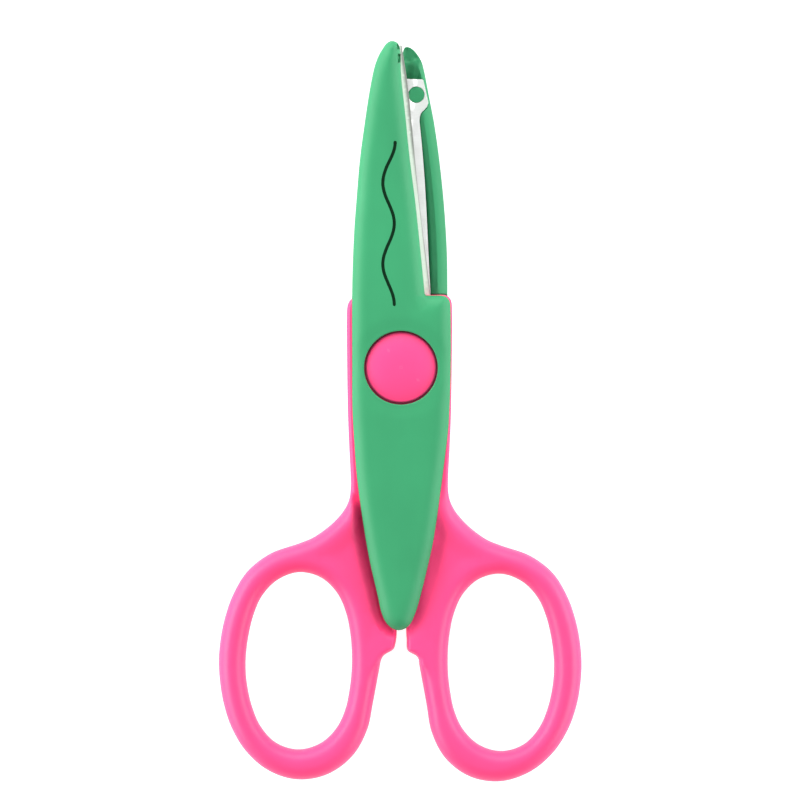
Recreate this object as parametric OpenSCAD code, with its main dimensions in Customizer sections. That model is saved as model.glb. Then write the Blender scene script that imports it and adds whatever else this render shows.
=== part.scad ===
// Decorative edge scissors lying flat on a table, tips along +Y, thickness along +Z.
// The pivot axis is X = 0, Y = 0, and Z = 0 is the table under the rear shell.
// Both halves are the same design, one of them turned over about the Y axis.
// Each half is drawn lying on the parting plane, then lifted or turned into place.

/* [Layout] */
// Height of the parting plane between the two halves
mid_height = 5.6; // [4.8:0.1:7]
// Distance from the pivot to the shell tip
tip_reach = 59.4; // [50:0.1:75]
// Distance from the pivot down to the lower point of the shell
tail_reach = 47.85; // [36:0.1:60]
// Distance from the pivot up to the shoulders where the jaws start
shoulder_y = 13.3; // [9:0.1:18]
// Half width of the shell over the pivot
body_half = 8.7; // [6.5:0.1:11]
// Half width of a handle neck over the pivot
neck_half = 9.5; // [7.5:0.1:12]

/* [Shell] */
// Wall thickness of the hollow shells
shell_wall = 1.2; // [0.8:0.1:2]
// Radius rolled over the top edge of a shell
crown_round = 1; // [0.6:0.1:1.2]
// How far the jaw narrows between shoulder and tip
jaw_taper = 4.75; // [3:0.05:7]
// Radius of the round window over the pivot cap
window_radius = 6.75; // [5:0.05:8]
// Radius of the stake that holds the blade head
stake_radius = 1.5; // [1:0.05:2]

/* [Blade] */
// Blade sheet thickness
blade_thick = 0.6; // [0.4:0.05:1]
// Height of the ripple each side of its middle
ripple_height = 0.5; // [0.2:0.05:0.8]
// Length of one ripple measured outward from the pivot
ripple_pitch = 4.4; // [3:0.1:8]
// Width of the rippled strip along the cutting edge
ripple_width = 4; // [2:0.1:6]
// Clear gap between the two rippled blades
blade_gap = 0.3; // [0.1:0.05:0.5]
// Half width of the tang over the pivot
tang_half = 5.6; // [4:0.1:7]

/* [Handle] */
// Distance from the pivot to the loop centre across the scissors
loop_x = 18.3; // [14:0.1:24]
// Distance from the pivot to the loop centre along the scissors
loop_y = 53.6; // [44:0.1:66]
// Half width of the loop at the middle of its tube
loop_a = 12.35; // [9:0.05:15]
// Half length of the loop at the middle of its tube
loop_b = 18.6; // [14:0.1:24]
// Mean width of the loop tube seen from above
tube_width = 5.4; // [3.5:0.1:6]
// Height of the loop tube
tube_height = 6.6; // [5:0.1:8]
// Lean of the closing stop on the front handle
front_stop_lean = 2; // [0:1:20]
// Lean of the closing stop on the rear handle
rear_stop_lean = 12; // [0:1:20]

/* [Pivot] */
// Radius of the rivet shank
rivet_radius = 2; // [1.5:0.05:3]
// Radius of both rivet heads
rivet_head = 3.9; // [3:0.1:4.2]
// Radius of the domed pivot caps
cap_radius = 6.3; // [4.6:0.05:7]
// Running gap between the shank and the moving half
running_gap = 0.05; // [0.02:0.01:0.1]

/* [Wave mark] */
// Length of one wave of the mark
mark_pitch = 15; // [8:0.5:20]
// Swing of the mark each side of its middle
mark_swing = 1.04; // [0.5:0.02:2]
// Line width of the mark
mark_line = 0.64; // [0.3:0.02:1.2]

/* [Hidden] */
$fn = 72;
land = ripple_height + blade_gap / 2;
land_top = land + blade_thick;
half_high = mid_height;
neck_low = 0.35;
neck_top = 3.6;
bore_floor = 2.4;
spigot = 5.2;
washer_thick = 0.3;
own_side = 24;
head_y = tip_reach - 6.8;
stake_x = -3;
stake_y = head_y - 2.8;
edge_tip = [0.3, tip_reach - 0.6];
edge_root = [tang_half - 0.1, shoulder_y + 0.7];
mark_low = shoulder_y - 2.1;
mark_mid = -2.1;
mark_deep = 0.3;
peg_radius = 1.5;
pegs = [[0, -16], [4.2, -30]];
loop_mean = (loop_a + loop_b) / 2;

// Round corner: points on an arc about c from angle a0 to a1.
function arc(c, r, a0, a1, n) = [for (i = [0:n]) let (a = a0 + (a1 - a0) * i / n) c + r * [cos(a), sin(a)]];

// Outer edge of a jaw, a gentle parabola from the shoulder to the tip.
function jaw_x(y) = -body_half + jaw_taper * pow(max(0, y - shoulder_y) / (tip_reach - 2.6 - shoulder_y), 2);

// Blade side edge of the shell and the cutting edge beside it.
function shell_edge(y) = 4.56 - 4.85 * (y - shoulder_y) / (tip_reach - 1.5 - shoulder_y);
function cut_edge(y) = edge_root[0] + (edge_tip[0] - edge_root[0]) * (y - edge_root[1]) / (edge_tip[1] - edge_root[1]);

// The tail sides draw in with the power one and a half of the distance below the pivot.
function tail_half(y, w) = w - 0.025 * pow(max(0, -9 - y), 1.5);

// Shell outline, anticlockwise from the lower point.
shell_line = concat(
    [for (y = [-42:4:-10]) [tail_half(y, 8.95), y]],
    [[9.2, -4], [9.3, 2]],
    arc([8, shoulder_y - 1.3], 1.3, 0, 90, 6),
    [[shell_edge(shoulder_y), shoulder_y]],
    [for (y = [18:7.8:57]) [shell_edge(y), y]],
    arc([-1.55, tip_reach - 1.3], 1.25, 10, 85, 5),
    arc([-1.4, tip_reach - 2.75], 2.75, 97, 165, 6),
    [for (y = [54:-4:18]) [jaw_x(y), y]],
    [[-body_half, shoulder_y], [-body_half, 2], [-body_half, -5]],
    [for (y = [-10:-4:-42]) [-tail_half(y, body_half), y]],
    arc([-0.1, 3.6 - tail_reach], 3.6, 195, 345, 10));

// Jaw part of the same outline, above the shoulders.
jaw_line = concat(
    [[-body_half, shoulder_y], [shell_edge(shoulder_y), shoulder_y]],
    [for (y = [18:7.8:57]) [shell_edge(y), y]],
    arc([-1.55, tip_reach - 1.3], 1.25, 10, 85, 5),
    arc([-1.4, tip_reach - 2.75], 2.75, 97, 165, 6),
    [for (y = [54:-4:18]) [jaw_x(y), y]]);

// Inside of the jaw, one wall in from its edges and closed by the solid nose.
hollow_line = concat(
    [[-body_half + shell_wall, shoulder_y + 1.6], [shell_edge(shoulder_y) - shell_wall, shoulder_y + 1.6]],
    [for (y = [18:7.8:50]) [shell_edge(y) - shell_wall, y]],
    [[shell_edge(head_y) - shell_wall, head_y - 0.6], [jaw_x(head_y) + shell_wall, head_y - 0.6]],
    [for (y = [50:-4:18]) [jaw_x(y) + shell_wall, y]]);

// Blade outline: tang, cutting edge, tip, staked head and narrow spine.
blade_line = concat(
    arc([0, 0], tang_half + 0.4, 180, 360, 24),
    [edge_root, edge_tip],
    arc([edge_tip[0] - 0.7, edge_tip[1] - 0.5], 0.6, 60, 150, 4),
    [[-1.46, head_y], [-4.4, head_y], [-5.45, head_y - 4.4]],
    arc([-5, head_y - 5.2], 0.5, 160, 260, 4),
    arc([-4.6, head_y - 6.9], 1.2, 75, 0, 5),
    [[-4, head_y - 12], [-5.5, shoulder_y + 1]]);

// Part of the blade plan whose inner face is rippled.
ripple_line = [[cut_edge(17) - ripple_width, 17], [cut_edge(17) + 1, 17],
               [edge_tip[0] + 1, tip_reach], [edge_tip[0] - ripple_width, tip_reach]];

// Section of the rippled strip outward from the pivot: waves on the inner face, flat outer face.
function ripple(r, turn) = ripple_height * cos(360 * r / ripple_pitch + turn);
function ripple_section(turn) = concat(
    [for (r = [12:0.55:64]) [r, blade_gap / 2 + ripple(r, turn)]],
    [[64, land_top], [12, land_top]]);

// Centre line of the upper left side of a finger loop, an ellipse seen from above.
loop_mid = [for (a = [84:8:188]) [loop_x + loop_a * cos(a), loop_b * sin(a) - loop_y]];

// Handle neck on its own side of the parting plane.
neck_line = concat(
    [for (y = [-26:4:-6]) [neck_half + 0.02 * (y + 4), y]],
    [[neck_half, 0]],
    arc([neck_half - 1.4, shoulder_y - 1.4], 1.4, 0, 90, 5),
    arc([1.2 - neck_half, shoulder_y - 1.2], 1.2, 90, 180, 5),
    [[-8.3, 0]],
    [for (y = [-10:-4:-18]) [-tail_half(y, 8.2), y]],
    arc([0, 0], own_side - 0.6, 251, 274, 6),
    [[2, -30], [9, -30]]);

// Full thickness web between the neck and the loop, with the closing stop.
function web_line(lean) = concat(
    [[8.9, -21.5], [9.1, -24.4], [10, -26.2], [11.5, -27.9], [13.5, -29.8], [16, -31.4], [18.3, -32.4]],
    loop_mid,
    [[3.9, -53.7], [3.2, -52.6], [0.85 + 3.3 * tan(lean), -51.4], [0.85, -48.1], [1.2, -46.6], [1.5, -40],
     [1.8, -21.5]]);

// Wave mark: a line of even width that follows a cosine.
function mark_x(y) = mark_mid + mark_swing * cos(360 * (y - mark_low) / mark_pitch);
function mark_lean(y) = atan(mark_swing * sin(360 * (y - mark_low) / mark_pitch) * 2 * PI / mark_pitch);
function mark_side(y, s) = [mark_x(y), y] + s * mark_line / 2 * [cos(mark_lean(y)), sin(mark_lean(y))];
mark_line_plan = concat(
    [for (i = [0:32]) mark_side(mark_low + i * mark_pitch / 16, 1)],
    arc([mark_x(mark_low), mark_low + 2 * mark_pitch], mark_line / 2, 30, 150, 4),
    [for (i = [32:-1:0]) mark_side(mark_low + i * mark_pitch / 16, -1)],
    arc([mark_x(mark_low), mark_low], mark_line / 2, 210, 330, 4));

// Moves an outline inward by d, square to its neighbours.
function shrink(p, d) = let (n = len(p)) [for (i = [0:n - 1])
    let (t = p[(i + 1) % n] - p[(i + n - 1) % n]) p[i] + d * [-t[1], t[0]] / norm(t)];

// Solid skinned through equal outlines stacked at rising heights.
module stacked(lines, heights) {
    n = len(lines[0]);
    m = len(lines);
    polyhedron(
        points = [for (k = [0:m - 1]) for (q = lines[k]) [q[0], q[1], heights[k]]],
        faces = concat(
            [[for (i = [0:n - 1]) i]],
            [for (k = [0:m - 2]) for (i = [0:n - 1])
                [k * n + i, (k + 1) * n + i, (k + 1) * n + (i + 1) % n, k * n + (i + 1) % n]],
            [[for (i = [n - 1:-1:0]) (m - 1) * n + i]]),
        convexity = 6);
}

// Places a half: the front one faces up, the rear one is turned over about Y.
module front_side() {
    translate([0, 0, mid_height])
        children();
}

module rear_side() {
    translate([0, 0, mid_height])
        rotate([0, 180, 0])
            children();
}

module mark_solid() {
    translate([0, 0, half_high - mark_deep])
        linear_extrude(height = mark_deep)
            polygon(mark_line_plan);
}

// Hollow cover: rolled crown, jaw walls, nose, stake and two pegs.
module half_shell() {
    rise = half_high - crown_round;
    difference() {
        union() {
            stacked([shell_line, shrink(shell_line, crown_round * 0.3), shrink(shell_line, crown_round)],
                    [rise, rise + crown_round * 0.7, half_high]);
            translate([0, 0, neck_top])
                linear_extrude(height = rise - neck_top)
                    polygon(shell_line);
            translate([0, 0, land])
                linear_extrude(height = neck_top - land)
                    polygon(jaw_line);
        }
        translate([0, 0, -1])
            linear_extrude(height = half_high - shell_wall + 1)
                polygon(hollow_line);
        translate([0, 0, land - 0.5])
            linear_extrude(height = blade_thick + 0.5)
                polygon(blade_line);
        translate([0, 0, land - 1])
            linear_extrude(height = blade_thick + 1)
                polygon([[-7.2, shoulder_y - 1], [6, shoulder_y - 1], [6, shoulder_y + 2], [-7.2, shoulder_y + 2]]);
        translate([0, 0, neck_top - 1])
            cylinder(h = 4, r = window_radius);
        mark_solid();
    }
    translate([stake_x, stake_y, land])
        cylinder(h = half_high - shell_wall - land + 0.2, r = stake_radius);
    translate([stake_x, stake_y, land_top])
        cylinder(h = half_high - shell_wall - land_top + 0.2, r = stake_radius + 0.9);
    for (p = pegs)
        translate([p[0], p[1], bore_floor - 0.6])
            cylinder(h = neck_top - bore_floor + 0.8, r = peg_radius);
}

// One handle: neck, web with stop, and an oval loop turned round and stretched.
module tube_section() {
    square([tube_width, tube_height - tube_width], center = true);
    for (s = [-1, 1])
        translate([0, s * (tube_height - tube_width) / 2])
            circle(r = tube_width / 2);
}

module finger_loop() {
    translate([loop_x, -loop_y, 0])
        scale([loop_a / loop_mean, loop_b / loop_mean, 1])
            rotate_extrude()
                translate([loop_mean, 0])
                    tube_section();
}

module half_handle(lean, bore) {
    difference() {
        union() {
            translate([0, 0, neck_low])
                linear_extrude(height = neck_top - neck_low)
                    polygon(neck_line);
            difference() {
                translate([0, 0, -2.9])
                    linear_extrude(height = 6.1)
                        polygon(web_line(lean));
                translate([0, 0, -4])
                    cylinder(h = 4 + neck_low, r = own_side);
            }
            finger_loop();
        }
        translate([0, 0, -1])
            linear_extrude(height = land_top + 1)
                polygon(concat(arc([0, 0], tang_half + 0.5, 180, 360, 24),
                               [[tang_half + 0.5, shoulder_y + 1], [-tang_half - 0.5, shoulder_y + 1]]));
        translate([0, 0, -1])
            cylinder(h = 6, r = bore);
        translate([0, 0, bore_floor])
            cylinder(h = 4, r = spigot);
        for (p = pegs)
            translate([p[0], p[1], bore_floor - 0.6])
                cylinder(h = 4, r = peg_radius);
    }
}

// One blade: flat tang and spine, rippled strip along the cutting edge.
module ripple_solid(turn) {
    intersection() {
        rotate([0, 0, 70])
            rotate_extrude(angle = 35)
                polygon(ripple_section(turn));
        translate([0, 0, -3])
            linear_extrude(height = 8)
                polygon(ripple_line);
        translate([0, 0, -3])
            linear_extrude(height = 8)
                polygon(blade_line);
    }
}

module half_blade(turn, bore) {
    difference() {
        union() {
            difference() {
                translate([0, 0, land])
                    linear_extrude(height = blade_thick)
                        polygon(blade_line);
                translate([0, 0, -3])
                    linear_extrude(height = 8)
                        polygon(ripple_line);
            }
            ripple_solid(turn);
        }
        translate([0, 0, -3])
            cylinder(h = 8, r = bore);
        translate([stake_x, stake_y, -3])
            cylinder(h = 8, r = stake_radius);
    }
}

// Domed cap pressed into the round seat of a handle.
module half_cap() {
    rim = half_high - 1.1;
    rotate_extrude()
        polygon(concat(
            [[0, 4.1], [spigot - 0.8, 4.1], [spigot - 0.8, bore_floor + 0.4], [spigot, bore_floor + 0.4],
             [spigot, neck_top], [cap_radius, neck_top], [cap_radius, rim]],
            arc([cap_radius - 0.5, rim], 0.5, 20, 75, 4),
            [for (r = [5:-1:3]) [r, half_high - 0.42 * pow((r - 2) / 3.6, 1.5)]],
            [[2, half_high], [0, half_high]]));
}

module front_shell() {
    color("mediumseagreen")
        front_side()
            half_shell();
}

module front_handle() {
    color("hotpink")
        front_side()
            half_handle(front_stop_lean, rivet_radius + running_gap);
}

module front_blade() {
    color("silver")
        front_side()
            half_blade(0, rivet_radius + running_gap);
}

module front_pivot_cap() {
    color("hotpink")
        front_side()
            half_cap();
}

module front_wave_mark() {
    color("darkgreen")
        front_side()
            mark_solid();
}

module rear_shell() {
    color("mediumseagreen")
        rear_side()
            half_shell();
}

module rear_handle() {
    color("hotpink")
        rear_side()
            half_handle(rear_stop_lean, rivet_radius);
}

module rear_blade() {
    color("silver")
        rear_side()
            half_blade(180, rivet_radius);
}

module rear_pivot_cap() {
    color("hotpink")
        rear_side()
            half_cap();
}

module rear_wave_mark() {
    color("darkgreen")
        rear_side()
            mark_solid();
}

// Rivet: shank with a plain head in each handle.
module pivot_rivet() {
    color("silver")
        front_side() {
            translate([0, 0, -bore_floor])
                cylinder(h = 2 * bore_floor + washer_thick + running_gap, r = rivet_radius);
            translate([0, 0, -bore_floor - 0.8])
                cylinder(h = 0.8, r = rivet_head);
            translate([0, 0, bore_floor + washer_thick + running_gap])
                cylinder(h = 0.8, r = rivet_head);
        }
}

module ring_plate(inner, outer, low, top) {
    translate([0, 0, low])
        difference() {
            cylinder(h = top - low, r = outer);
            translate([0, 0, -1])
                cylinder(h = top - low + 2, r = inner);
        }
}

module rivet_washer() {
    color("gainsboro")
        front_side()
            ring_plate(rivet_radius + running_gap, 4.2, bore_floor, bore_floor + washer_thick);
}

module spacer_washer() {
    color("ivory")
        front_side()
            ring_plate(rivet_radius, 5, -land, land - running_gap);
}

front_shell();
front_handle();
front_blade();
front_pivot_cap();
front_wave_mark();
rear_shell();
rear_handle();
rear_blade();
rear_pivot_cap();
rear_wave_mark();
pivot_rivet();
rivet_washer();
spacer_washer();
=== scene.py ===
import math

import bpy
import numpy as np
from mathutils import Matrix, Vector
from mathutils.geometry import delaunay_2d_cdt


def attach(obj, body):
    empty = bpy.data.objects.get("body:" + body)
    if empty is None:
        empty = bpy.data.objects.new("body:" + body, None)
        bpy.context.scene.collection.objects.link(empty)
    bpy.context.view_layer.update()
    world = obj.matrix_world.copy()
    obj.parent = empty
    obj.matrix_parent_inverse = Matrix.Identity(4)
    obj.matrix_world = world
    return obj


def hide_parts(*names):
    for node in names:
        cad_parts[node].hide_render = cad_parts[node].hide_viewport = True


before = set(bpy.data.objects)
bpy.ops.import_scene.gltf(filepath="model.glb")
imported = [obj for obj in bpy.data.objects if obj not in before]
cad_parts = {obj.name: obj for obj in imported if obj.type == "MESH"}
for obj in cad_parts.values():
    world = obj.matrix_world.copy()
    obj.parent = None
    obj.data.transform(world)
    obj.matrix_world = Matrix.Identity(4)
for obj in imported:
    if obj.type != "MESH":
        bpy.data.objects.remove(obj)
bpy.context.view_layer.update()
MM = 0.001
MID = 5.6  # parting plane above the table, in mm
PIXEL = 0.1824  # mm of the object across one pixel of the picture
FINE = 0.08  # mm between the points of a line while its corners are rounded

# ---------------------------------------------------------------- outlines


def spline(pts, n=10):
    """Centripetal Catmull-Rom through the points, so uneven spacing doesn't overshoot."""
    p = np.array(pts, float)
    q = np.vstack([2 * p[0] - p[1], p, 2 * p[-1] - p[-2]])
    out = []
    for i in range(1, len(q) - 2):
        a, b, c, d = q[i - 1], q[i], q[i + 1], q[i + 2]
        t0 = 0.0
        t1 = t0 + max(np.linalg.norm(b - a), 1e-6) ** 0.5
        t2 = t1 + max(np.linalg.norm(c - b), 1e-6) ** 0.5
        t3 = t2 + max(np.linalg.norm(d - c), 1e-6) ** 0.5
        for k in range(n):
            t = t1 + (t2 - t1) * k / n
            a1 = (t1 - t) / (t1 - t0) * a + (t - t0) / (t1 - t0) * b
            a2 = (t2 - t) / (t2 - t1) * b + (t - t1) / (t2 - t1) * c
            a3 = (t3 - t) / (t3 - t2) * c + (t - t2) / (t3 - t2) * d
            b1 = (t2 - t) / (t2 - t0) * a1 + (t - t0) / (t2 - t0) * a2
            b2 = (t3 - t) / (t3 - t1) * a2 + (t - t1) / (t3 - t1) * a3
            out.append((t2 - t) / (t2 - t1) * b1 + (t - t1) / (t2 - t1) * b2)
    out.append(p[-1])
    return np.array(out)


def walk(closed, step):
    """The closed line resampled at an even step."""
    p = np.vstack([closed, closed[:1]])
    keep = np.r_[True, np.linalg.norm(np.diff(p, axis=0), axis=1) > 1e-7]
    p = p[keep]
    s = np.r_[0, np.cumsum(np.linalg.norm(np.diff(p, axis=0), axis=1))]
    n = max(12, int(round(s[-1] / step)))
    t = np.linspace(0, s[-1], n, endpoint=False)
    return np.c_[np.interp(t, s, p[:, 0]), np.interp(t, s, p[:, 1])]


def loop(parts, step, soft):
    """Joins the parts into a closed line and rounds its corners a little."""
    p = walk(np.vstack([np.array(q, float) for q in parts]), FINE)
    if soft > 0:
        k = int(4 * soft / FINE)
        w = np.exp(-0.5 * (np.arange(-k, k + 1) * FINE / soft) ** 2)
        w /= w.sum()
        q = np.zeros_like(p)
        for j in range(-k, k + 1):
            q += w[j + k] * np.roll(p, j, axis=0)
        p = q
    p = walk(p, step)
    x, y = p[:, 0], p[:, 1]
    if np.sum(x * np.roll(y, -1) - y * np.roll(x, -1)) < 0:
        p = p[::-1].copy()
    return p


def tag(ob, name, values):
    """Stores a number for each point, read by the material."""
    at = ob.data.attributes.new(name, "FLOAT", "POINT")
    at.data.foreach_set("value", np.asarray(values, dtype=np.float32))


def ring(cx, cy, r, n):
    a = np.linspace(0, 2 * math.pi, n, endpoint=False)
    return np.c_[cx + r * np.cos(a), cy + r * np.sin(a)]


def reach(line, pts):
    """Distance from each point to the closed line."""
    a = line
    b = np.roll(line, -1, axis=0)
    ab = b - a
    den = np.maximum((ab ** 2).sum(1), 1e-12)
    best = np.full(len(pts), 1e9)
    for i in range(0, len(pts), 1500):
        q = pts[i:i + 1500]
        w = q[:, None, :] - a[None]
        t = np.clip((w * ab[None]).sum(2) / den, 0, 1)
        d = w - t[..., None] * ab[None]
        best[i:i + 1500] = np.sqrt((d ** 2).sum(2).min(1))
    return best


def within(line, pts):
    x, y = pts[:, 0], pts[:, 1]
    hit = np.zeros(len(pts), bool)
    for (x1, y1), (x2, y2) in zip(line, np.roll(line, -1, axis=0)):
        if y1 == y2:
            continue
        cross = ((y1 > y) != (y2 > y)) & (x < (x2 - x1) * (y - y1) / (y2 - y1) + x1)
        hit ^= cross
    return hit


def ease(t):
    t = np.clip(t, 0, 1)
    return t * t * (3 - 2 * t)


def quarter(t):
    """Quarter round: 0 at t = 0 and 1 from t = 1, upright at the start."""
    t = np.clip(t, 0, 1)
    return np.sqrt(np.maximum(0, 1 - (1 - t) ** 2))


# ---------------------------------------------------------------- meshes


def add_mesh(name, verts, faces, side, material, smooth_angle):
    """Makes an object from points in mm in a half's own frame. The rear half (-1) is turned over about Y."""
    v = np.array(verts, float)
    v = v * np.array([side, 1, side])
    v[:, 2] += MID
    me = bpy.data.meshes.new(name)
    me.from_pydata((v * MM).tolist(), [], faces)
    me.validate()
    me.update()
    me.polygons.foreach_set("use_smooth", [True] * len(me.polygons))
    me.set_sharp_from_angle(angle=math.radians(smooth_angle))
    me.materials.append(material)
    ob = bpy.data.objects.new(name, me)
    bpy.context.scene.collection.objects.link(ob)
    return ob


def plate(outer, holes, rings, grid, top, bottom, rows, extra=None):
    """A solid between two height fields over an outline with holes. Returns points and faces.

    Heights are functions of (points, distances), where distances has one row per edge line. The mesh
    is fine near the edges, where the section turns, and even inside."""
    loops = [outer] + holes
    edges, start = [], 0
    for line in loops:
        n = len(line)
        edges += [(start + i, start + (i + 1) % n) for i in range(n)]
        start += n
    free = []

    def inside(q):
        ok = within(outer, q)
        for h in holes:
            ok &= ~within(h, q)
        return ok

    def nearest(q):
        return np.min([reach(line, q) for line in loops], axis=0)

    for k, line in enumerate(loops):
        t = np.roll(line, -1, axis=0) - np.roll(line, 1, axis=0)
        t /= np.linalg.norm(t, axis=1)[:, None]
        nrm = np.c_[-t[:, 1], t[:, 0]] * (1 if k == 0 else -1)
        for j, d in enumerate(rings):
            q = line + nrm * d
            if j > 5:
                q = q[::2]
            q = q[inside(q)]
            if len(q):
                q = q[np.abs(nearest(q) - d) < 0.02 + 0.03 * d]
                free.append(q)
    lo, hi = outer.min(0), outer.max(0)
    ys = np.arange(lo[1], hi[1], grid * 0.866)
    g = []
    for r, y in enumerate(ys):
        xs = np.arange(lo[0] + (grid / 2 if r % 2 else 0), hi[0], grid)
        g.append(np.c_[xs, np.full(len(xs), y)])
    g = np.vstack(g)
    g = g[inside(g)]
    g = g[nearest(g) > rings[-1] + 0.45 * grid]
    free.append(g)
    if extra is not None:
        e = extra[inside(extra)]
        free.append(e[nearest(e) > 0.04])
    allp = np.vstack(loops + free)
    res = delaunay_2d_cdt([Vector(p) for p in allp.tolist()], edges, [], 0, 1e-5)
    v2 = np.array([(v.x, v.y) for v in res[0]])
    tri = [tuple(f) for f in res[2]]
    cen = np.array([v2[list(f)].mean(0) for f in tri])
    keep = inside(cen)
    tri = [f for f, k in zip(tri, keep) if k]
    out_of = {}
    for i, src in enumerate(res[3]):
        for s in src:
            out_of[s] = i
    dist = np.array([reach(line, v2) for line in loops])
    start = 0
    for k, line in enumerate(loops):
        for i in range(len(line)):
            dist[k, out_of[start + i]] = 0
        start += len(line)
    zt = top(v2, dist)
    zb = bottom(v2, dist)
    used = sorted({i for f in tri for i in f})
    verts, top_of, bot_of = [], {}, {}
    for i in used:
        top_of[i] = len(verts)
        verts.append((v2[i, 0], v2[i, 1], zt[i]))
    for i in used:
        bot_of[i] = len(verts)
        verts.append((v2[i, 0], v2[i, 1], zb[i]))
    faces = []
    for f in tri:
        a, b, c = (v2[i] for i in f)
        if (b[0] - a[0]) * (c[1] - a[1]) - (b[1] - a[1]) * (c[0] - a[0]) < 0:
            f = (f[0], f[2], f[1])
        faces.append(tuple(top_of[i] for i in f))
        faces.append(tuple(bot_of[i] for i in (f[0], f[2], f[1])))
    start = 0
    for k, line in enumerate(loops):
        n = len(line)
        ids = [out_of[start + i] for i in range(n)]
        start += n
        rows_of = []
        for r in range(rows + 1):
            if r == 0:
                rows_of.append([top_of[i] for i in ids])
            elif r == rows:
                rows_of.append([bot_of[i] for i in ids])
            else:
                u = r / rows
                row = []
                for i in ids:
                    row.append(len(verts))
                    verts.append((v2[i, 0], v2[i, 1], zt[i] * (1 - u) + zb[i] * u))
                rows_of.append(row)
        for r in range(rows):
            up, dn = rows_of[r], rows_of[r + 1]
            for i in range(n):
                j = (i + 1) % n
                q = (up[i], dn[i], dn[j], up[j])
                faces.append(q if k == 0 else q[::-1])
    return verts, faces


def lathe(profile, n, centre):
    """A closed turned solid from (radius, height) points that start and end on the axis."""
    verts, faces, rows = [], [], []
    for r, z in profile:
        if r < 1e-6:
            rows.append([len(verts)] * n)
            verts.append((centre[0], centre[1], z))
        else:
            rows.append([len(verts) + i for i in range(n)])
            for i in range(n):
                a = 2 * math.pi * i / n
                verts.append((centre[0] + r * math.cos(a), centre[1] + r * math.sin(a), z))
    for k in range(len(profile) - 1):
        for i in range(n):
            j = (i + 1) % n
            q = [rows[k][i], rows[k][j], rows[k + 1][j], rows[k + 1][i]]
            q = [a for i2, a in enumerate(q) if a not in q[:i2]]
            if len(q) > 2:
                faces.append(tuple(q))
    return verts, faces


# ---------------------------------------------------------------- materials


def nodes_of(mat):
    mat.use_nodes = True
    nt = mat.node_tree
    nt.nodes.clear()
    out = nt.nodes.new("ShaderNodeOutputMaterial")
    bsdf = nt.nodes.new("ShaderNodeBsdfPrincipled")
    nt.links.new(bsdf.outputs[0], out.inputs[0])
    return nt, bsdf


def noise(nt, scale, detail, rough, stretch=None):
    """Cloudy noise in the object's own space, drawn out along an axis where stretch is small."""
    coords = nt.nodes.new("ShaderNodeTexCoord").outputs["Object"]
    if stretch is not None:
        mp = nt.nodes.new("ShaderNodeMapping")
        mp.inputs["Scale"].default_value = stretch
        nt.links.new(coords, mp.inputs["Vector"])
        coords = mp.outputs["Vector"]
    nz = nt.nodes.new("ShaderNodeTexNoise")
    nz.inputs["Scale"].default_value = scale
    nz.inputs["Detail"].default_value = detail
    nz.inputs["Roughness"].default_value = rough
    nt.links.new(coords, nz.inputs["Vector"])
    return nz.outputs["Fac"]


def ramp(nt, fac, stops):
    r = nt.nodes.new("ShaderNodeValToRGB")
    while len(r.color_ramp.elements) < len(stops):
        r.color_ramp.elements.new(0.5)
    for e, (pos, col) in zip(r.color_ramp.elements, stops):
        e.position = pos
        e.color = tuple(col) + (1,) if len(col) == 3 else col
    nt.links.new(fac, r.inputs["Fac"])
    return r.outputs["Color"]


def spread(nt, fac, lo, hi):
    m = nt.nodes.new("ShaderNodeMapRange")
    m.inputs["From Min"].default_value = 0.3
    m.inputs["From Max"].default_value = 0.7
    m.inputs["To Min"].default_value = lo
    m.inputs["To Max"].default_value = hi
    nt.links.new(fac, m.inputs["Value"])
    return m.outputs["Result"]


def mix(nt, fac, a, b, kind="MIX"):
    m = nt.nodes.new("ShaderNodeMix")
    m.data_type = "RGBA"
    m.blend_type = kind
    for sock, val in ((m.inputs["Factor"], fac), (m.inputs["A"], a), (m.inputs["B"], b)):
        if isinstance(val, (int, float, tuple, list)):
            sock.default_value = val
        else:
            nt.links.new(val, sock)
    return m.outputs["Result"]


def bump(nt, height, strength, distance):
    b = nt.nodes.new("ShaderNodeBump")
    b.inputs["Strength"].default_value = strength
    b.inputs["Distance"].default_value = distance
    nt.links.new(height, b.inputs["Height"])
    return b


def shade(rgb, k):
    return tuple(min(1.0, c * k) for c in rgb)


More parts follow.
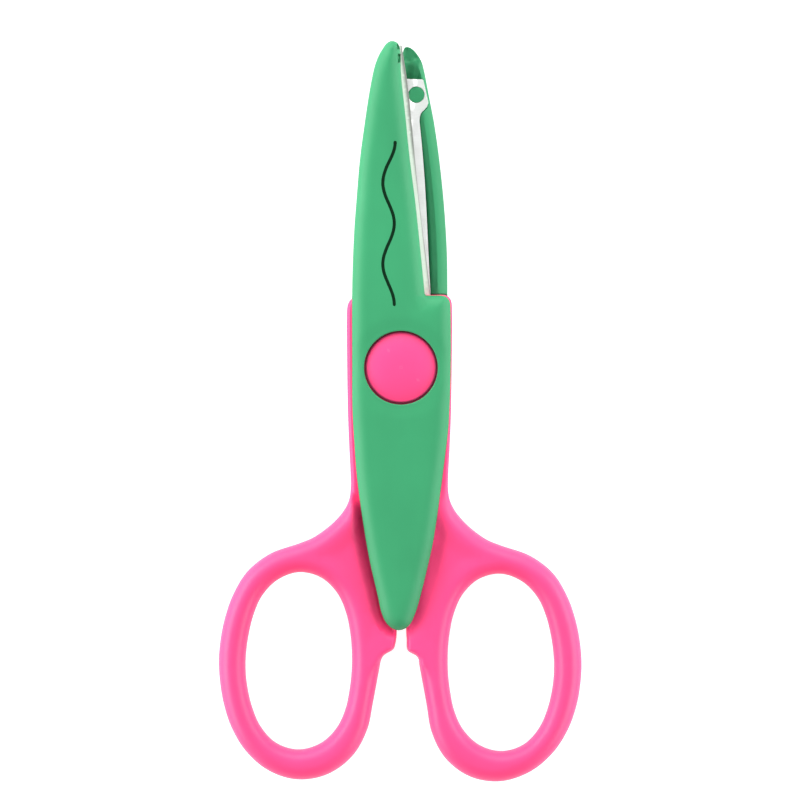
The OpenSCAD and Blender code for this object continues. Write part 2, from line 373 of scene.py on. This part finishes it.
def plastic(name, rgb, rough, spec=0.5, deep=0.93):
    """Glossy moulded plastic: faint flow streaks and clouding in colour, fine polish marks and tiny dents."""
    mat = bpy.data.materials.new(name)
    nt, b = nodes_of(mat)
    cloud = noise(nt, 60, 3, 0.55)
    flow = noise(nt, 160, 4, 0.6, stretch=(1.0, 0.2, 1.0))
    fine = noise(nt, 2600, 3, 0.6)
    scuff = noise(nt, 700, 6, 0.7, stretch=(1.0, 0.25, 1.0))
    base = ramp(nt, cloud, [(0.3, shade(rgb, deep)), (0.7, shade(rgb, 1.03))])
    streak = ramp(nt, flow, [(0.35, (0.965, 0.965, 0.965)), (0.65, (1, 1, 1))])
    col = mix(nt, 1.0, base, streak, "MULTIPLY")
    geo = nt.nodes.new("ShaderNodeNewGeometry")
    worn = ramp(nt, geo.outputs["Pointiness"], [(0.53, (0, 0, 0)), (0.62, (1, 1, 1))])
    pale = tuple(c * 0.85 + 0.15 * max(rgb) for c in rgb) + (1,)
    wear = nt.nodes.new("ShaderNodeRGBToBW")
    nt.links.new(worn, wear.inputs[0])
    nt.links.new(mix(nt, wear.outputs[0], col, mix(nt, 0.15, col, pale)), b.inputs["Base Color"])
    nt.links.new(spread(nt, scuff, rough[0], rough[1]), b.inputs["Roughness"])
    b.inputs["IOR"].default_value = 1.48
    b.inputs["Specular IOR Level"].default_value = spec
    bp = bump(nt, fine, 0.04, 0.00003)
    dent = bump(nt, cloud, 0.1, 0.00008)
    nt.links.new(dent.outputs[0], bp.inputs["Normal"])
    nt.links.new(bp.outputs[0], b.inputs["Normal"])
    return mat


def steel(name, rgb, grain=(0.05, 1.0, 1.0), scale=4200, metal=0.9):
    """Ground steel: brushed grain one way, faint smudges and a slightly darker tone in the grain."""
    mat = bpy.data.materials.new(name)
    nt, b = nodes_of(mat)
    line = noise(nt, scale, 5, 0.65, stretch=grain)
    smudge = noise(nt, 120, 4, 0.6)
    col = ramp(nt, line, [(0.3, shade(rgb, 0.95)), (0.7, shade(rgb, 1.02))])
    tone = ramp(nt, smudge, [(0.35, (0.97, 0.97, 0.965)), (0.65, (1, 1, 1))])
    col = mix(nt, 1.0, col, tone, "MULTIPLY")
    b.inputs["Metallic"].default_value = metal
    add = nt.nodes.new("ShaderNodeMath")
    add.operation = "ADD"
    nt.links.new(spread(nt, line, 0.25, 0.38), add.inputs[0])
    nt.links.new(spread(nt, smudge, 0.0, 0.06), add.inputs[1])
    nt.links.new(add.outputs[0], b.inputs["Roughness"])
    nt.links.new(bump(nt, line, 0.06, 0.00002).outputs[0], b.inputs["Normal"])
    return mat, nt, b, col


def blade_finish(name):
    """Same steel on every face: the outer face keeps the base tone, the other faces get a cooler grey as
    painted reflection, and a dark line along the cutting edge is painted shadow.
    """
    mat, nt, b, col = steel(name, (0.93, 0.925, 0.88), metal=0.15)

    def told(key):
        at = nt.nodes.new("ShaderNodeAttribute")
        at.attribute_name = key
        return at.outputs["Fac"]

    # Painted reflection: a cooler grey tone laid on every face but the outer one.
    painted_reflection_tone = mix(nt, 1.0, col, (0.79, 0.81, 0.84, 1), "MULTIPLY")
    # Painted shadow: the outer face darkened to 0.3 within about 0.3 mm of the cutting edge.
    painted_edge_shadow = mix(nt, 1.0, col, (0.30, 0.30, 0.30, 1), "MULTIPLY")
    col = mix(nt, told("painted_reflection_mask"), col, painted_reflection_tone)
    nt.links.new(mix(nt, told("painted_edge_shadow"), col, painted_edge_shadow), b.inputs["Base Color"])
    return mat


def plain_steel(name, rgb, **kw):
    mat, nt, b, col = steel(name, rgb, **kw)
    nt.links.new(col, b.inputs["Base Color"])
    return mat


def printed(name, rgb):
    """Screen printed ink: near black green, slightly uneven cover and a matt film."""
    mat = bpy.data.materials.new(name)
    nt, b = nodes_of(mat)
    patch = noise(nt, 900, 5, 0.7)
    nt.links.new(ramp(nt, patch, [(0.3, shade(rgb, 0.7)), (0.75, shade(rgb, 1.4))]), b.inputs["Base Color"])
    nt.links.new(spread(nt, patch, 0.55, 0.75), b.inputs["Roughness"])
    b.inputs["Specular IOR Level"].default_value = 0.05
    nt.links.new(bump(nt, patch, 0.2, 0.00002).outputs[0], b.inputs["Normal"])
    return mat


GREEN = plastic("green_moulded", (0.035, 0.27, 0.116), (0.42, 0.5), spec=0.22)
PINK = plastic("pink_moulded", (0.97, 0.056, 0.207), (0.36, 0.45), spec=0.32)
BLADE = blade_finish("blade_steel")
RIVET = plain_steel("rivet_steel", (0.62, 0.62, 0.63), grain=(1.0, 1.0, 0.06), scale=2200)
INK = printed("mark_ink", (0.002, 0.016, 0.006))
NYLON = plastic("spacer_nylon", (0.72, 0.70, 0.64), (0.4, 0.55), deep=0.95)

# ---------------------------------------------------------------- shells

# Heights above the parting plane and radii from the pivot, in mm
WINDOW = 6.71  # window over the cap
TOP = 5.6  # outer face of a cover
NECK_TOP = 3.6  # seat between neck and cover
POCKET = 5.26  # recess in the neck for the rivet head, washer and cap spigot
POCKET_FLOOR = 2.4
LAND = 0.65  # inner face of the flat part of a blade
LAND_TOP = 1.25  # outer face of a blade
TANG = 6.1  # half width of the slot that the tang lies in
BORE = {1: 2.05, -1: 2.0}  # rivet hole: free in the front half, tight in the rear
STAKE = (-3.0, 49.75)
NOSE = (-1.5, 58.3)
RIPPLE_PITCH = 4.4

right_tail = spline([(2.28, -46.1), (3.0, -44.3), (4.47, -38.8), (6.11, -31.5), (7.2, -24.2), (8.1, -17.4),
                     (8.85, -11), (9.15, -5), (9.3, 1), (9.3, 7), (9.24, 10.9)])
shoulder_corner = spline([(9.24, 10.9), (9.05, 12.05), (8.45, 12.8), (7.6, 13.05)])
left_body = [(-8.7, 13.5), (-8.7, 2.0), (-8.67, -7.0), (-8.35, -13.0), (-7.8, -20.2), (-6.75, -27.9),
             (-5.5, -35.2), (-3.92, -42.1), (-3.4, -44.5), (-2.5, -46.5), (-1.3, -47.6), (-0.12, -47.9),
             (1.1, -47.5), (1.85, -46.8), (2.28, -46.1)]
jaw_front = [(-3.05, 58.1), (-3.82, 56.8), (-4.42, 55.3), (-4.83, 53.8), (-5.58, 49.9), (-6.52, 43.6),
             (-7.28, 37.8), (-7.9, 30.5), (-8.3, 25.1), (-8.57, 19.0)]
jaw_rear = [(-2.5, 57.9), (-3.36, 56.85), (-4.02, 55.67), (-4.42, 54.2), (-4.78, 52.4), (-5.48, 48.7),
            (-6.18, 45.1), (-7.0, 39.6), (-8.0, 30.5), (-8.6, 21.0)]
edge_front = [(4.56, 13.05), (3.69, 21.7), (2.75, 30.5), (1.82, 37.8), (0.93, 46.5), (0.24, 53.0),
              (0.15, 55.2), (0.17, 56.6), (0.05, 57.6), (-0.05, 58.4), (-0.35, 59.0), (-0.95, 59.33),
              (-1.6, 59.4), (-2.4, 58.98)]
edge_rear = [(4.56, 13.05), (3.74, 21.7), (2.83, 30.5), (1.92, 37.8), (1.05, 46.5), (0.3, 53.0),
             (-0.35, 56.2), (-0.58, 57.6), (-0.8, 58.3), (-1.2, 58.55), (-1.75, 58.42)]


def shell_outline(edge, jaw):
    shoulder = [(7.0, 13.05), (5.2, 13.05)]
    return loop([right_tail, shoulder_corner, shoulder, spline(edge + jaw + left_body)], 0.4, 0.16)


SHELL = {1: shell_outline(edge_front, jaw_front), -1: shell_outline(edge_rear, jaw_rear)}
window_loop = ring(0.2, -0.12, WINDOW, 120)


def jaw_left(y):
    return np.interp(y, [13.3, 19, 25, 30.5, 37.8, 43.6, 49.9, 53.8, 56.8, 58.2, 59.4],
                     [-8.66, -8.55, -8.32, -7.95, -7.39, -6.66, -5.75, -5.05, -4.1, -3.4, -1.9])


def jaw_right(y):
    return np.interp(y, [13.3, 21.7, 30.5, 37.8, 46.5, 53.0, 57.2, 59.4],
                     [4.56, 3.74, 2.83, 1.92, 1.1, 0.4, 0.0, -1.0])


def crown(e):
    """Height of the shell's outer skin at a distance e from its edge: rolled edge and a slight crown."""
    return TOP - 1.9 * (1 - quarter(e / 2.7)) - 0.45 * (1 - np.clip(e / 7.0, 0, 1)) ** 2


# Two small relief slots beside the blade tip: (least x, low y, high y)
SLOTS = [(-0.52, 57.75, 58.75), (-0.36, 55.35, 57.0)]


def shell_top(p, d):
    """Outer skin with a shallow dish round the window and two slots at the tip."""
    z = crown(d[0]) - 0.24 * (1 - ease(d[1] / 3.0)) - 0.15 * (1 - quarter(d[1] / 0.2))
    for x0, y0, y1 in SLOTS:
        cut = (p[:, 0] > x0) & (p[:, 1] > y0 + 0.5 * np.clip(p[:, 0] - x0, 0, 0.3)) & (p[:, 1] < y1)
        z = np.where(cut, 1.42, z)
    return z


def shell_bottom(p, d):
    """Flat seat over the handle neck; a curved hollow inside the jaw, closed by a solid nose."""
    x, y = p[:, 0], p[:, 1]
    e = d[0]
    inner = ease((x - (jaw_left(y) + jaw_right(y)) / 2) / 1.0 + 0.5)
    rim = LAND * (1 - inner) + (LAND_TOP + 0.02) * inner
    slope = 0.9 * (1 - np.clip(e / 2.0, 0, 1)) ** 1.5 + 1.5 * np.clip((e - 1.7) / 1.8, 0, 1) ** 1.4
    hollow = np.minimum(slope, 4.05 - rim)
    nose = np.hypot(x - NOSE[0], y - NOSE[1])
    hollow = hollow * np.where(inner > 0.5, ease((e - 0.3) / 0.6), 1)
    cup = 0.28 * ease((e - 0.1) / 0.5) * ease((2.75 - nose) / 0.5)
    ridge = ease((nose - 2.95) / 1.5)
    drop = 1.3 * ease((56.2 - y) / 3.6) * ease((nose - 2.95) / 0.7) * ease((e - 0.2) / 1.2)
    drop = drop * ease((y - 49.8) / 2.0)
    jaw = rim + np.maximum(hollow * ridge, drop) + cup
    under = within(blade_loop, p) | (reach(blade_loop, p) < 0.13)
    jaw = np.where(under, np.maximum(jaw, LAND_TOP + 0.02), jaw)
    w = ease((y - 13.1) / 0.35)
    return NECK_TOP * (1 - w) + jaw * w


def cut_edge(y):
    return 5.5 + (0.3 - 5.5) * (y - 14.0) / (58.8 - 14.0)


blade_loop = loop([
    [(6.0 * math.cos(a), 6.0 * math.sin(a)) for a in np.linspace(math.pi, 2 * math.pi, 40)],
    [(5.8, 8.0), (5.5, 14.0)],
    spline([(5.5, 14.0), (3.3, 32.3), (2.28, 43.3), (1.4, 51.7), (0.72, 56.2), (0.42, 58.2)]),
    spline([(0.42, 58.2), (0.3, 58.7), (0.02, 58.72), (-0.15, 58.2)]),
    [(-0.4, 55.8), (-0.75, 53.8), (-0.95, 52.75), (-1.3, 52.57), (-4.25, 52.57), (-5.22, 48.3)],
    spline([(-5.22, 48.3), (-4.95, 47.6), (-4.45, 47.0), (-3.95, 46.5), (-3.68, 45.9), (-3.58, 45.1)]),
    spline([(-3.56, 45.1), (-4.0, 40.7), (-4.47, 34.9), (-4.83, 29.0), (-5.1, 23.2), (-5.38, 17.4),
            (-5.56, 14.1)]),
    [(-5.8, 8.0)]], 0.3, 0.1)


def shell_piece(name, side):
    outline = SHELL[side]
    across = np.arange(-8.6, 9.3, 0.35)
    rows = np.vstack([np.c_[across, np.full(len(across), y)] for y in (13.09, 13.2, 13.33, 13.47)])
    nose_rows = np.vstack([ring(*NOSE, r, 80)
                           for r in (2.25, 2.45, 2.6, 2.75, 2.85, 2.95, 3.15, 3.4, 3.7, 4.1)])
    slot_rows = []
    for x0, y0, y1 in SLOTS:
        for x in (x0 - 0.03, x0 + 0.03, x0 + 0.15, x0 + 0.3):
            slot_rows += [(x, y) for y in np.arange(y0 - 0.06, y1 + 0.1, 0.06)]
        for y in (y0 - 0.03, y0 + 0.03, y1 - 0.03, y1 + 0.03):
            slot_rows += [(x, y) for x in np.arange(x0, x0 + 0.6, 0.06)]
    t = np.roll(blade_loop, -1, axis=0) - np.roll(blade_loop, 1, axis=0)
    t /= np.linalg.norm(t, axis=1)[:, None]
    rim = [blade_loop + np.c_[t[:, 1], -t[:, 0]] * k for k in (0.11, 0.16)]
    verts, faces = plate(outline, [window_loop],
                         [0.03, 0.1, 0.2, 0.34, 0.5, 0.75, 1.0, 1.35, 1.8, 2.2, 2.7, 3.3],
                         0.8, shell_top, shell_bottom, rows=4,
                         extra=np.vstack([rows, nose_rows, np.array(slot_rows)] + rim))
    stake_v, stake_f = stake_piece()
    n = len(verts)
    verts = verts + stake_v
    faces = faces + [tuple(i + n for i in f) for f in stake_f]
    return add_mesh(name, verts, faces, side, GREEN, 38)


# ---------------------------------------------------------------- handles

neck_right = spline([(18.5, -32.34), (16.0, -31.33), (13.43, -29.6), (11.42, -27.8), (9.93, -25.95),
                     (9.1, -24.2), (8.78, -22.0), (8.84, -19.0), (9.05, -15), (9.28, -9.6), (9.4, -4),
                     (9.48, 2.0), (9.54, 8.0)])
neck_corner = {1: spline([(9.5, 11.2), (9.3, 12.3), (8.55, 13.02), (7.6, 13.17)]),
               -1: spline([(9.68, 10.4), (9.45, 11.7), (8.7, 12.6), (7.6, 12.85)])}
neck_left = spline([(-7.2, 12.9), (-8.0, 12.6), (-8.35, 11.8), (-8.4, 6.0), (-8.4, -7.0), (-8.05, -13.0),
                    (-7.5, -19.0)])
neck_arc = np.array([(23.4 * math.cos(math.radians(a)), 23.4 * math.sin(math.radians(a)))
                     for a in np.linspace(252, 275, 12)])
loop_outer = spline([(3.45, -53.6), (4.16, -57.5), (4.9, -61.5), (5.85, -66.3), (8.4, -71.05), (12.9, -74.45),
                     (18.46, -75.4), (23.9, -73.7), (28.08, -70.2), (30.78, -65.9), (32.26, -61.6),
                     (32.97, -57.5), (33.18, -53.7), (32.87, -49.85), (32.06, -45.85), (30.56, -41.6),
                     (27.93, -37.35), (23.78, -34.2), (18.5, -32.34)])
front_stop = spline([(1.6, -44.5), (1.16, -47.4), (1.13, -48.5)], 6)
front_stop = np.vstack([front_stop, spline([(1.13, -48.5), (1.23, -49.6), (1.23, -51.0), (1.34, -51.6),
                                            (1.86, -52.04), (2.61, -52.4), (3.2, -52.8), (3.55, -53.6)], 6)])
rear_stop = spline([(1.4, -44.5), (0.6, -47.4), (0.55, -48.3)], 6)
rear_stop = np.vstack([rear_stop, spline([(0.55, -48.3), (0.6, -49.3), (0.78, -50.3), (1.02, -51.3),
                                          (1.38, -51.67), (2.07, -52.04), (2.72, -52.4), (3.2, -52.9),
                                          (3.45, -53.6)], 6)])
STOP = {1: front_stop, -1: rear_stop}
hole_pts = [(28.12, -53.7), (27.9, -51.1), (27.47, -48.45), (26.7, -45.4), (25.18, -41.95), (22.38, -39.0),
            (18.45, -37.55), (14.42, -38.5), (11.42, -41.35), (9.82, -44.95), (9.12, -48.25), (8.82, -51.05),
            (8.75, -53.7), (8.86, -56.3), (9.2, -59.05), (9.9, -62.35), (11.5, -65.85), (14.42, -68.68),
            (18.46, -69.85), (22.5, -68.68), (25.35, -65.7), (26.9, -62.2), (27.67, -59.1), (28.05, -56.3)]
hole_loop = loop([spline(hole_pts + hole_pts[:1])], 0.45, 0.3)


def handle_loop(side):
    """Outline of one handle; the two mouldings differ by a hair at the neck and at the loop's end."""
    low = ease((-25.0 - neck_right[:, 1]) / 6.5)
    neck = neck_right + np.c_[(0.0 if side > 0 else 0.18) * (1 - low), -0.18 * side * low]
    lean = np.clip((-60.0 - loop_outer[:, 1]) / 15.0, 0, 1) ** 1.3
    lean = -0.28 * side * lean - (0.0 if side > 0 else 0.14) * ease((loop_outer[:, 0] - 20.0) / 8.0)
    outer = loop_outer + np.c_[lean, np.full(len(lean), -0.18 * side)]
    return loop([outer, neck, neck_corner[side], neck_left, neck_arc,
                 spline([(2.2, -25.0), (2.1, -32.0), (1.9, -39.0), (1.6, -44.0)]), STOP[side]], 0.45, 0.22)


def grip(p, d):
    """Half height of the handle: rounded tube round the hole, squarer along the meeting side."""
    x, y = p[:, 0], p[:, 1]
    square = ease((7.0 - x) / 3.5) * ease((y + 57.5) / 4.0)
    roll = 2.6 - 1.9 * square
    tube = 3.3 * np.minimum(quarter(d[0] / roll), quarter(d[1] / 2.6)) ** 0.95
    e = np.minimum(d[0], d[1])
    return tube - 0.5 * ease((e - 2.3) / 3.0) * (1 - 0.5 * square)


def handle_top(p, d):
    """Flat neck under the shell, then the full thickness web and loop."""
    r = np.hypot(p[:, 0], p[:, 1])
    e = np.minimum(d[0], d[1])
    neck = NECK_TOP - 0.6 * (1 - quarter(e / 0.7))
    neck = np.where(r < POCKET, POCKET_FLOOR, neck)
    own = SHELL[1]
    away = reach(own, p) * np.where(within(own, p), -1, 1)
    channel = 1.0 * (1 - ease((away + 0.1) / 3.0)) * ease(e / 0.8) * ease((p[:, 1] + 51) / 3)
    channel = channel * ease((-27.0 - p[:, 1]) / 8.0)
    w = ease((r - 22.0) / 8.0)
    return neck * (1 - w) + (grip(p, d) - channel) * w


def handle_bottom(p, d):
    """Meeting side: tang pocket in the neck, and a channel where the other shell's tail lies."""
    x, y = p[:, 0], p[:, 1]
    r = np.hypot(x, y)
    e = np.minimum(d[0], d[1])
    other = SHELL[1] * np.array([-1, 1])
    away = reach(other, p) * np.where(within(other, p), -1, 1)
    channel = 2.1 * (1 - ease((away + 0.1) / 2.1)) * ease(e / 0.8) * ease((y + 51) / 3)
    pocket = (np.hypot(x, np.minimum(y, 0)) < TANG) & (y < 20)
    neck = np.where(pocket, LAND_TOP, 0.35)
    neck = neck + 1.1 * (1 - quarter(e / 0.9)) * (x > 0)
    w = ease((r - 23.9) / 2.6)
    return neck * (1 - w) - (grip(p, d) - channel) * w


def handle_piece(name, side):
    out = handle_loop(side)
    seat = np.vstack([ring(0, 0, r, 90) for r in (POCKET - 0.02, POCKET + 0.04, 6.04, 6.16)])
    along = np.linspace(0.1, 13.4, 60)
    sides = np.vstack([np.c_[np.full(60, x), along] for x in (-6.04, -6.16, 6.04, 6.16)])
    arcs = np.vstack([ring(0, 0, r, int(r * 8)) for r in (23.5, 23.9, 24.3, 24.8, 25.4, 26.0, 26.5)])
    verts, faces = plate(out, [hole_loop + np.array([0, -0.15 * side]), ring(0, 0, BORE[side], 64)],
                         [0.03, 0.09, 0.18, 0.3, 0.46, 0.66, 0.9, 1.2, 1.55, 1.95, 2.4],
                         0.9, handle_top, handle_bottom, rows=3, extra=np.vstack([seat, sides, arcs]))
    return add_mesh(name, verts, faces, side, PINK, 45)


# ---------------------------------------------------------------- blades


def ripple(p, turn):
    r = np.hypot(p[:, 0], p[:, 1])
    x, y = p[:, 0], p[:, 1]
    band = ease((x - (cut_edge(y) - 4.3)) / 0.9) * ease((y - 16.2) / 1.2)
    wave = 0.15 + 0.5 * np.cos(2 * math.pi * r / RIPPLE_PITCH + turn)
    return LAND * (1 - band) + wave * band


def blade_piece(name, side):
    """Flat sheet with a rippled strip; the halves' ripples are half a wave apart, so they nest."""
    turn = 0.0 if side > 0 else math.pi

    def top(p, d):
        e = np.min(d, axis=0)
        return LAND_TOP - 0.06 * (1 - quarter(e / 0.07))

    def bottom(p, d):
        e = np.min(d, axis=0)
        return ripple(p, turn) + 0.04 * (1 - quarter(e / 0.05))

    bands = []
    for y in np.arange(16.0, 58.8, 0.4):
        bands += [(cut_edge(y) - k, y) for k in (3.3, 3.6, 3.9, 4.2, 4.45, 0.5, 1.1, 1.7, 2.3, 2.8)]
    verts, faces = plate(blade_loop, [ring(0, 0, BORE[side], 48), ring(*STAKE, 1.5, 40)],
                         [0.025, 0.07, 0.2], 0.6, top, bottom, rows=2, extra=np.array(bands))
    v = np.array(verts)
    ob = add_mesh(name, verts, faces, side, BLADE, 35)
    outer = v[:, 2] > LAND_TOP - 0.075
    gap = cut_edge(v[:, 1]) - v[:, 0]
    # Painted reflection mask: 1 on every face but the outer one.
    tag(ob, "painted_reflection_mask", np.where(outer, 0.0, 1.0))
    # Painted shadow mask along the cutting edge of the outer face.
    tag(ob, "painted_edge_shadow", np.where(outer & (v[:, 1] > 13), np.clip(1 - (gap - 0.08) / 0.22, 0, 1), 0.0))
    return ob


# ---------------------------------------------------------------- caps and mark


def cap_piece(name, side):
    prof = [(0, 4.1), (4.4, 4.1), (4.4, 2.8), (4.5, 2.75), (5.1, 2.75), (5.2, 2.85), (5.2, 3.6), (6.25, 3.6),
            (6.4, 3.7), (6.45, 4.15)]
    for k in range(1, 9):
        a = math.radians(90 * k / 8)
        prof.append((5.95 + 0.5 * math.cos(a), 4.15 + 0.5 * math.sin(a)))
    for r in np.linspace(5.8, 0, 26):
        prof.append((r, 5.6 - 0.95 * (r / 5.95) ** 2.5))
    verts, faces = lathe(prof, 128, (0.22, -0.05))
    return add_mesh(name, verts, faces, side, PINK, 40)


def stake_piece():
    """Shell stake through the blade head, with a shoulder above the blade."""
    prof = [(0, 3.4), (1.9, 3.4), (1.9, 1.27), (1.47, 1.26), (1.47, 0.76), (1.42, 0.69), (1.34, 0.66),
            (0.9, 0.65), (0, 0.65)]
    return lathe(prof[::-1], 48, STAKE)


def mark_piece(name, side):
    low, high, pitch = 11.35, 40.85, 14.75
    ys = np.linspace(low, high, 200)
    cx = -2.05 + 1.04 * np.cos(2 * math.pi * (high - ys) / pitch) + 0.15 * ease((ys - 36) / 4.5)
    line = np.c_[cx, ys]
    t = np.gradient(line, axis=0)
    t /= np.linalg.norm(t, axis=1)[:, None]
    nrm = np.c_[-t[:, 1], t[:, 0]]
    half = 0.32
    left, right = line + nrm * half, line - nrm * half

    def round_end(tip, way):
        a = math.atan2(way[1], way[0]) - math.pi * np.arange(1, 12) / 12
        return np.c_[tip[0] + half * np.cos(a), tip[1] + half * np.sin(a)]

    out = np.vstack([left, round_end(line[-1], nrm[-1]), right[::-1], round_end(line[0], -nrm[0])])
    out = loop([out], 0.2, 0)

    def top(p, d):
        return crown(reach(SHELL[side], p)) + 0.03 * quarter(d[0] / 0.12) - 0.02

    def bottom(p, d):
        return np.full(len(p), 5.32)

    verts, faces = plate(out, [], [0.03, 0.09], 0.3, top, bottom, rows=1)
    return add_mesh(name, verts, faces, side, INK, 50)


# ---------------------------------------------------------------- assembly


for side, half in ((1, "front"), (-1, "rear")):
    body = half + "_half"
    shell = shell_piece(half + "_cover", side)
    handle = handle_piece(half + "_grip", side)
    blade = blade_piece(half + "_rippled_blade", side)
    cap = cap_piece(half + "_dome_cap", side)
    mark = mark_piece(half + "_wave_print", side)
    for ob, node, slot in ((shell, "_shell", "green_plastic"), (handle, "_handle", "pink_plastic"),
                           (blade, "_blade", "blade_steel"), (cap, "_pivot_cap", "pink_plastic"),
                           (mark, "_wave_mark", "mark_ink")):
        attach(ob, body)
        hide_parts(half + node)

for node, mat in (("pivot_rivet", RIVET), ("rivet_washer", RIVET), ("spacer_washer", NYLON)):
    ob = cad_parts[node]
    for s in ob.material_slots:
        s.material = mat
    if not ob.material_slots:
        ob.data.materials.append(mat)
    bev = ob.modifiers.new("edge", "BEVEL")
    bev.width = 0.00008
    bev.segments = 2
    bev.limit_method = "ANGLE"
    bev.angle_limit = math.radians(40)

# ---------------------------------------------------------------- stage, light and camera


def stage_floor():
    me = bpy.data.meshes.new("floor")
    n = 24
    s = 0.9
    v = [(-s + 2 * s * i / n, -s + 2 * s * j / n, 0.0) for j in range(n + 1) for i in range(n + 1)]
    f = [(j * (n + 1) + i, j * (n + 1) + i + 1, (j + 1) * (n + 1) + i + 1, (j + 1) * (n + 1) + i)
         for j in range(n) for i in range(n)]
    me.from_pydata(v, [], f)
    me.update()
    mat = bpy.data.materials.new("floor_paper")
    nt, b = nodes_of(mat)
    fibre = noise(nt, 400, 4, 0.6)
    paper = ramp(nt, fibre, [(0.3, (0.40, 0.40, 0.40)), (0.7, (0.42, 0.42, 0.42))])
    nt.links.new(paper, b.inputs["Base Color"])
    b.inputs["Emission Color"].default_value = (1, 1, 1, 1)
    b.inputs["Emission Strength"].default_value = 0.9
    b.inputs["Roughness"].default_value = 0.9
    b.inputs["Specular IOR Level"].default_value = 0.1
    me.materials.append(mat)
    ob = bpy.data.objects.new("floor", me)
    bpy.context.scene.collection.objects.link(ob)


stage_floor()

scene = bpy.context.scene
world = bpy.data.worlds.new("studio")
scene.world = world
world.use_nodes = True
bg = world.node_tree.nodes.get("Background") or world.node_tree.nodes.new("ShaderNodeBackground")
bg.inputs["Color"].default_value = (1, 1, 1, 1)
bg.inputs["Strength"].default_value = 0.54


def area(name, place, aim, size, power):
    data = bpy.data.lights.new(name, "AREA")
    data.shape = "RECTANGLE"
    data.size, data.size_y = size
    data.energy = power
    ob = bpy.data.objects.new(name, data)
    ob.location = place
    ob.rotation_euler = (Vector(aim) - Vector(place)).to_track_quat("-Z", "Y").to_euler()
    scene.collection.objects.link(ob)


area("left_box", (-0.62, 0.05, 0.19), (0, -0.01, 0), (1.0, 0.5), 9.3)
area("right_box", (0.62, 0.0, 0.19), (0, -0.01, 0), (1.0, 0.5), 7.0)
area("upper_box", (-0.06, 0.58, 0.30), (0, 0, 0), (0.9, 0.5), 5.0)

cam_data = bpy.data.cameras.new("camera")
cam_data.type = "PERSP"
cam_data.sensor_fit = "HORIZONTAL"
cam_data.sensor_width = 36.0
dist = 1.3
span = 800 * PIXEL * MM
cam_data.lens = 36.0 * dist / span
cam_data.clip_start = 0.01
cam_data.clip_end = 10
cam = bpy.data.objects.new("camera", cam_data)
cam.location = (0.00003, -0.00598, dist + 0.006)
cam.rotation_euler = (0, 0, 0)
scene.collection.objects.link(cam)
scene.camera = cam

scene.view_settings.view_transform = "Standard"
scene.view_settings.look = "None"
scene.view_settings.exposure = 0.0
scene.view_settings.gamma = 1.0
